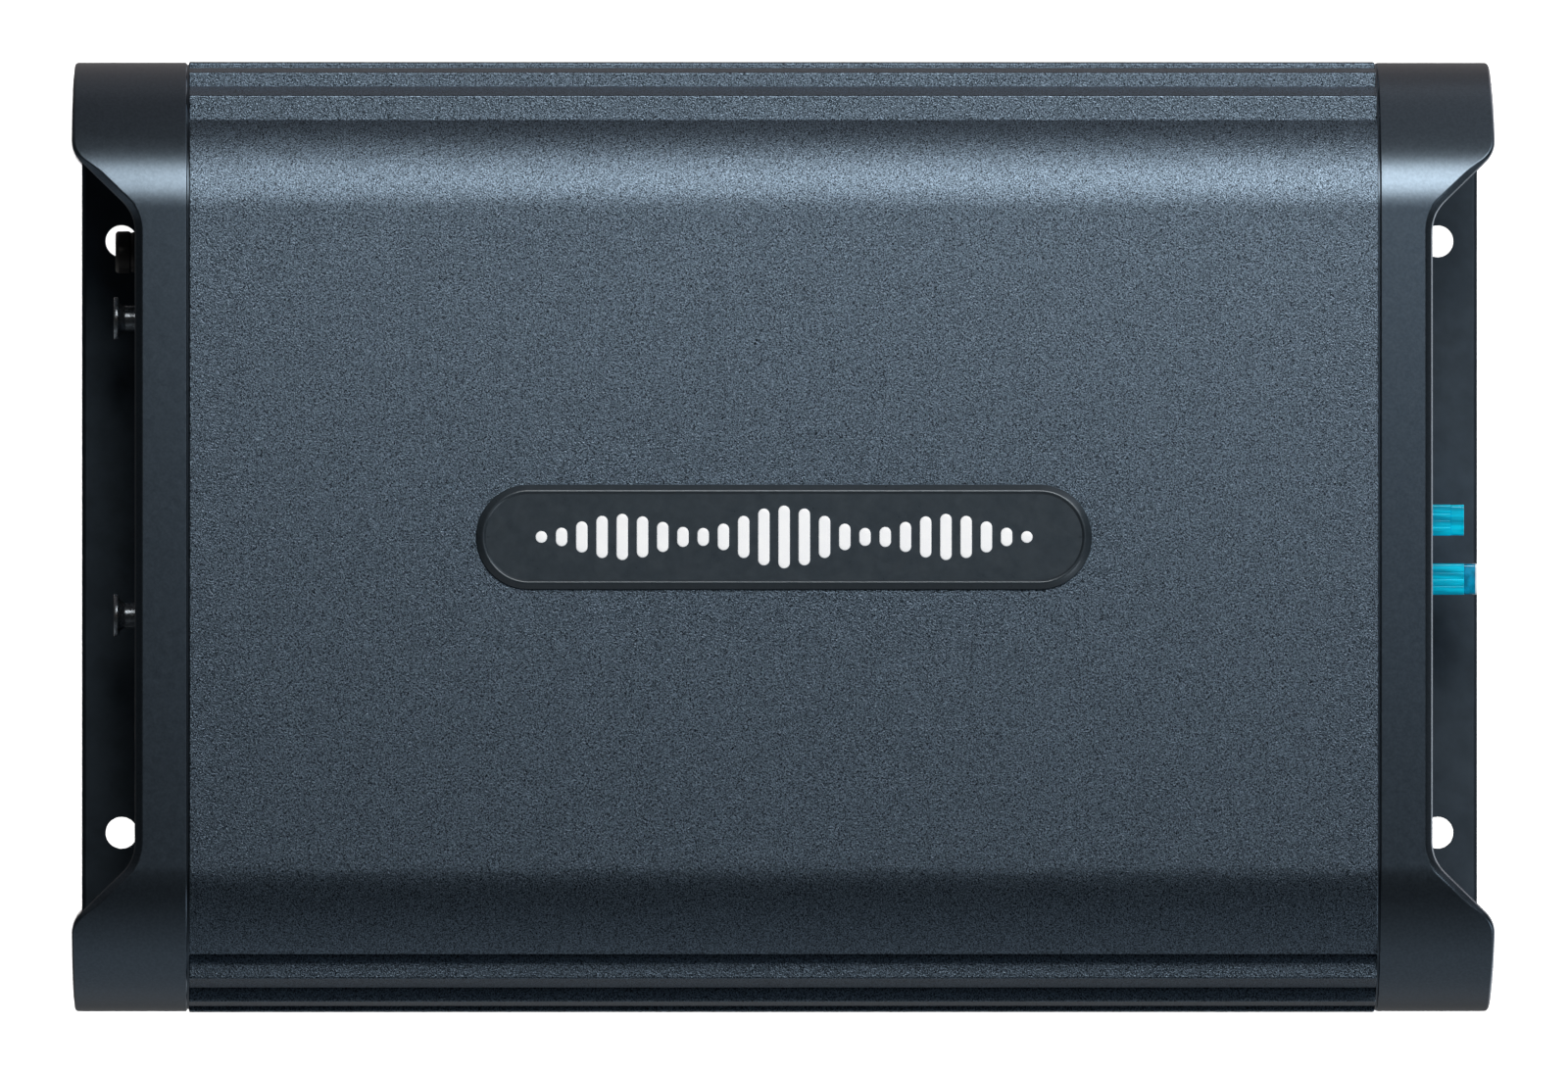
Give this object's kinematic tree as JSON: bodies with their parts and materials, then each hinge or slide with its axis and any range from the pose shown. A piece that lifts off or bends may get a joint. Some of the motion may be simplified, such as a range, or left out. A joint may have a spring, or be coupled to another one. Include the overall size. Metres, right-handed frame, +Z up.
{
  "type": "car amplifier",
  "caption": "Low car audio power amplifier with a finned cover, notched end hoods, signal controls at one end and fuses and wire terminals at the other.",
  "frame": {"origin": "on the base plate's underside, at the middle of the footprint", "axes": "+X along the extrusion from the signal end to the power end, +Y across it, +Z up from the base plate through the crown"},
  "size_m": [0.236, 0.158, 0.0552],
  "materials": {
    "cover_paint": "dark slate blue-grey powder coat with a fine wrinkled texture",
    "hood_paint": "smooth satin dark grey paint on cast aluminium",
    "sheet_steel_paint": "smooth semi-gloss near-black paint on steel sheet",
    "badge": null,
    "bright_steel": "zinc plated",
    "black_screw": "black oxide",
    "black_plastic": "moulded, finely grained",
    "knob_plastic": "moulded, satin",
    "plated_contact": "nickel plate",
    "blue_lamp": "tinted clear resin",
    "red_lamp": "tinted clear resin",
    "circuit_board": "green solder mask",
    "fuse_plastic": "translucent light blue moulding over zinc blades",
    "copper_winding": "enamelled copper wire wound on a ring core",
    "capacitor_sleeve": "shrink sleeve on an aluminium can"
  },
  "bodies": {
    "amplifier": {"heatsink_cover": "cover_paint", "base_plate": "sheet_steel_paint", "signal_end_panel": "sheet_steel_paint", "power_end_panel": "sheet_steel_paint", "power_end_hood": "hood_paint", "signal_end_hood": "hood_paint", "badge_plate": "badge", "base_screw_1": "bright_steel", "base_screw_2": "bright_steel", "base_screw_3": "bright_steel", "base_screw_4": "bright_steel", "transistor_clamp_1": "bright_steel", "transistor_clamp_2": "bright_steel", "signal_end_screw_1": "black_screw", "signal_end_screw_2": "black_screw", "signal_end_screw_3": "black_screw", "signal_end_screw_4": "black_screw", "power_end_screw_1": "black_screw", "power_end_screw_2": "black_screw", "power_end_screw_3": "black_screw", "power_end_screw_4": "black_screw", "crossover_pot": "black_plastic", "level_pot": "black_plastic", "remote_jack": "black_plastic", "phono_housing": "black_plastic", "mode_switch_body": "black_plastic", "power_terminal_block": "black_plastic", "speaker_terminal_block": "black_plastic", "fuse_holder": "black_plastic", "output_transistor_1": "black_plastic", "output_transistor_2": "black_plastic", "output_transistor_3": "black_plastic", "output_transistor_4": "black_plastic", "phono_jack_1": "plated_contact", "phono_jack_2": "plated_contact", "power_lamp": "blue_lamp", "protect_lamp": "red_lamp", "control_board": "circuit_board", "main_board": "circuit_board", "power_transformer": "copper_winding", "output_inductor": "copper_winding", "reservoir_capacitor_1": "capacitor_sleeve", "reservoir_capacitor_2": "capacitor_sleeve", "reservoir_capacitor_3": "capacitor_sleeve"},
    "crossover_knob": {"crossover_knob": "knob_plastic"},
    "level_knob": {"level_knob": "knob_plastic"},
    "mode_switch_slider": {"mode_switch_slider": "black_plastic"},
    "fuse_1": {"fuse_1": "fuse_plastic"},
    "fuse_2": {"fuse_2": "fuse_plastic"},
    "battery_clamp_plate": {"battery_clamp_plate": "plated_contact"},
    "remote_clamp_plate": {"remote_clamp_plate": "plated_contact"},
    "ground_clamp_plate": {"ground_clamp_plate": "plated_contact"},
    "speaker_positive_clamp_plate": {"speaker_positive_clamp_plate": "plated_contact"},
    "speaker_negative_clamp_plate": {"speaker_negative_clamp_plate": "plated_contact"},
    "battery_screw": {"battery_screw": "plated_contact"},
    "remote_screw": {"remote_screw": "plated_contact"},
    "ground_screw": {"ground_screw": "plated_contact"},
    "speaker_positive_screw": {"speaker_positive_screw": "plated_contact"},
    "speaker_negative_screw": {"speaker_negative_screw": "plated_contact"}
  },
  "joints": [
    {"name": "crossover_knob_turn", "type": "hinge", "parent": "amplifier", "child": "crossover_knob", "pos_m": [-0.105, 0.0363, 0.027], "axis": [-1, 0, 0], "range_deg": [-150, 150]},
    {"name": "level_knob_turn", "type": "hinge", "parent": "amplifier", "child": "level_knob", "pos_m": [-0.105, -0.013, 0.027], "axis": [-1, 0, 0], "range_deg": [-150, 150]},
    {"name": "mode_switch_slide", "type": "slide", "parent": "amplifier", "child": "mode_switch_slider", "axis": [0, 1, 0], "range_m": [0, 0.002]},
    {"name": "fuse_1_pull", "type": "slide", "parent": "amplifier", "child": "fuse_1", "axis": [1, 0, 0], "range_m": [0, 0.012]},
    {"name": "fuse_2_pull", "type": "slide", "parent": "amplifier", "child": "fuse_2", "axis": [1, 0, 0], "range_m": [-0.0022, 0.01]},
    {"name": "battery_clamp_travel", "type": "slide", "parent": "amplifier", "child": "battery_clamp_plate", "axis": [1, 0, 0], "range_m": [0, 0.0021]},
    {"name": "battery_screw_turn", "type": "hinge", "parent": "battery_clamp_plate", "child": "battery_screw", "pos_m": [0.1035, 0.042, 0.027], "axis": [1, 0, 0], "range_deg": [0, 1080]},
    {"name": "remote_clamp_travel", "type": "slide", "parent": "amplifier", "child": "remote_clamp_plate", "axis": [1, 0, 0], "range_m": [0, 0.0021]},
    {"name": "remote_screw_turn", "type": "hinge", "parent": "remote_clamp_plate", "child": "remote_screw", "pos_m": [0.1035, 0.031, 0.027], "axis": [1, 0, 0], "range_deg": [0, 1080]},
    {"name": "ground_clamp_travel", "type": "slide", "parent": "amplifier", "child": "ground_clamp_plate", "axis": [1, 0, 0], "range_m": [0, 0.0021]},
    {"name": "ground_screw_turn", "type": "hinge", "parent": "ground_clamp_plate", "child": "ground_screw", "pos_m": [0.1035, 0.02, 0.027], "axis": [1, 0, 0], "range_deg": [0, 1080]},
    {"name": "speaker_positive_clamp_travel", "type": "slide", "parent": "amplifier", "child": "speaker_positive_clamp_plate", "axis": [1, 0, 0], "range_m": [0, 0.0021]},
    {"name": "speaker_positive_screw_turn", "type": "hinge", "parent": "speaker_positive_clamp_plate", "child": "speaker_positive_screw", "pos_m": [0.1035, -0.024, 0.027], "axis": [1, 0, 0], "range_deg": [0, 1080]},
    {"name": "speaker_negative_clamp_travel", "type": "slide", "parent": "amplifier", "child": "speaker_negative_clamp_plate", "axis": [1, 0, 0], "range_m": [0, 0.0021]},
    {"name": "speaker_negative_screw_turn", "type": "hinge", "parent": "speaker_negative_clamp_plate", "child": "speaker_negative_screw", "pos_m": [0.1035, -0.035, 0.027], "axis": [1, 0, 0], "range_deg": [0, 1080]}
  ],
  "couplings": [
    {"joint": "battery_screw_turn", "follows": "battery_clamp_travel", "rad_per_m": 8976},
    {"joint": "remote_screw_turn", "follows": "remote_clamp_travel", "rad_per_m": 8976},
    {"joint": "ground_screw_turn", "follows": "ground_clamp_travel", "rad_per_m": 8976},
    {"joint": "speaker_positive_screw_turn", "follows": "speaker_positive_clamp_travel", "rad_per_m": 8976},
    {"joint": "speaker_negative_screw_turn", "follows": "speaker_negative_clamp_travel", "rad_per_m": 8976}
  ]
}
